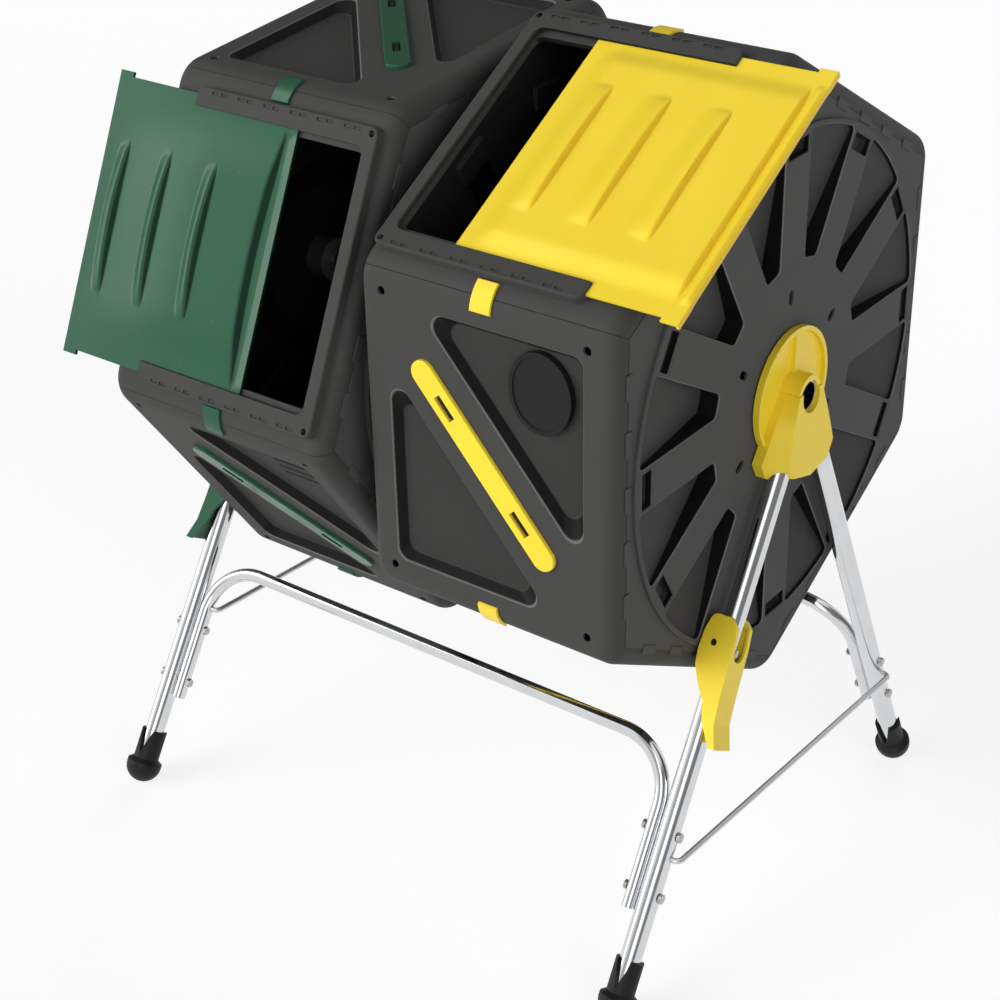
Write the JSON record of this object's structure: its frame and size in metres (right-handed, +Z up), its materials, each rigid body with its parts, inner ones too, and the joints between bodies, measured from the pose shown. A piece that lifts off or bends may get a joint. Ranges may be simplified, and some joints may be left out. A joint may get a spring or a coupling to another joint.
{
  "type": "compost tumbler",
  "caption": "Compost tumbler with dark hexagonal drums side by side, yellow and green sliding lids, a shared axle, lock levers and a bright tube stand on splayed legs.",
  "frame": {"origin": "on the floor under the middle of the axle, halfway between the drums", "axes": "+X along the axle towards the yellow-lidded drum, +Y to the back, +Z up"},
  "size_m": [0.7183, 0.6649, 0.9008],
  "materials": {
    "drum_plastic": "fine matt texture",
    "yellow_plastic": "satin gloss moulding",
    "green_plastic": "gloss moulding",
    "chrome_tube": "bright plated tube",
    "black_plastic": "matt",
    "bush_plastic": "smooth",
    "fastener_steel": "zinc plated"
  },
  "bodies": {
    "stand": {"axle_tube": "chrome_tube", "axle_spacer": "bush_plastic", "right_hub_bracket": "yellow_plastic", "left_hub_bracket": "green_plastic", "right_front_leg": "chrome_tube", "right_rear_leg": "chrome_tube", "left_front_leg": "chrome_tube", "left_rear_leg": "chrome_tube", "right_front_foot": "black_plastic", "right_rear_foot": "black_plastic", "left_front_foot": "black_plastic", "left_rear_foot": "black_plastic", "front_brace": "chrome_tube", "rear_brace": "chrome_tube", "brace_bolts": "fastener_steel", "right_side_rod": "chrome_tube", "left_side_rod": "chrome_tube", "right_lever_pin": "fastener_steel", "left_lever_pin": "fastener_steel", "stop_screws": "fastener_steel"},
    "right_drum": {"right_outer_end_cap": "drum_plastic", "right_outer_bush": "bush_plastic", "right_inner_end_cap": "drum_plastic", "right_inner_bush": "bush_plastic", "right_panel_1": "drum_plastic", "right_panel_2": "drum_plastic", "right_panel_3": "drum_plastic", "right_panel_4": "drum_plastic", "right_panel_5": "drum_plastic", "right_mixing_strips": "yellow_plastic", "right_mixing_vanes": "yellow_plastic", "right_corner_clips": "yellow_plastic", "right_door_frame": "drum_plastic", "medallion": "drum_plastic"},
    "left_drum": {"left_outer_end_cap": "drum_plastic", "left_outer_bush": "bush_plastic", "left_inner_end_cap": "drum_plastic", "left_inner_bush": "bush_plastic", "left_panel_1": "drum_plastic", "left_panel_2": "drum_plastic", "left_panel_3": "drum_plastic", "left_panel_4": "drum_plastic", "left_panel_5": "drum_plastic", "left_mixing_strips": "green_plastic", "left_mixing_vanes": "green_plastic", "left_corner_clips": "green_plastic", "left_door_frame": "drum_plastic"},
    "right_lid": {"right_lid": "yellow_plastic"},
    "left_lid": {"left_lid": "green_plastic"},
    "right_lever": {"right_lock_lever": "yellow_plastic"},
    "left_lever": {"left_lock_lever": "green_plastic"}
  },
  "joints": [
    {"name": "right_drum_spin", "type": "hinge", "parent": "stand", "child": "right_drum", "pos_m": [0.1545, 0, 0.56751], "axis": [1, 0, 0], "range_deg": [-150, 84]},
    {"name": "left_drum_spin", "type": "hinge", "parent": "stand", "child": "left_drum", "pos_m": [-0.1545, 0, 0.56751], "axis": [1, 0, 0], "range_deg": [-185, 49]},
    {"name": "right_lid_slide", "type": "slide", "parent": "right_drum", "child": "right_lid", "axis": [1, 0, 0], "range_m": [-0.076, 0.08]},
    {"name": "left_lid_slide", "type": "slide", "parent": "left_drum", "child": "left_lid", "axis": [-1, 0, 0], "range_m": [-0.091, 0.08]},
    {"name": "right_lever_swing", "type": "hinge", "parent": "stand", "child": "right_lever", "pos_m": [0.31886, -0.11976, 0.34286], "axis": [0, -0.8823, 0.4707], "range_deg": [0, 12]},
    {"name": "left_lever_swing", "type": "hinge", "parent": "stand", "child": "left_lever", "pos_m": [-0.31886, -0.11976, 0.34286], "axis": [0, 0.8823, -0.4707], "range_deg": [0, 12]}
  ]
}
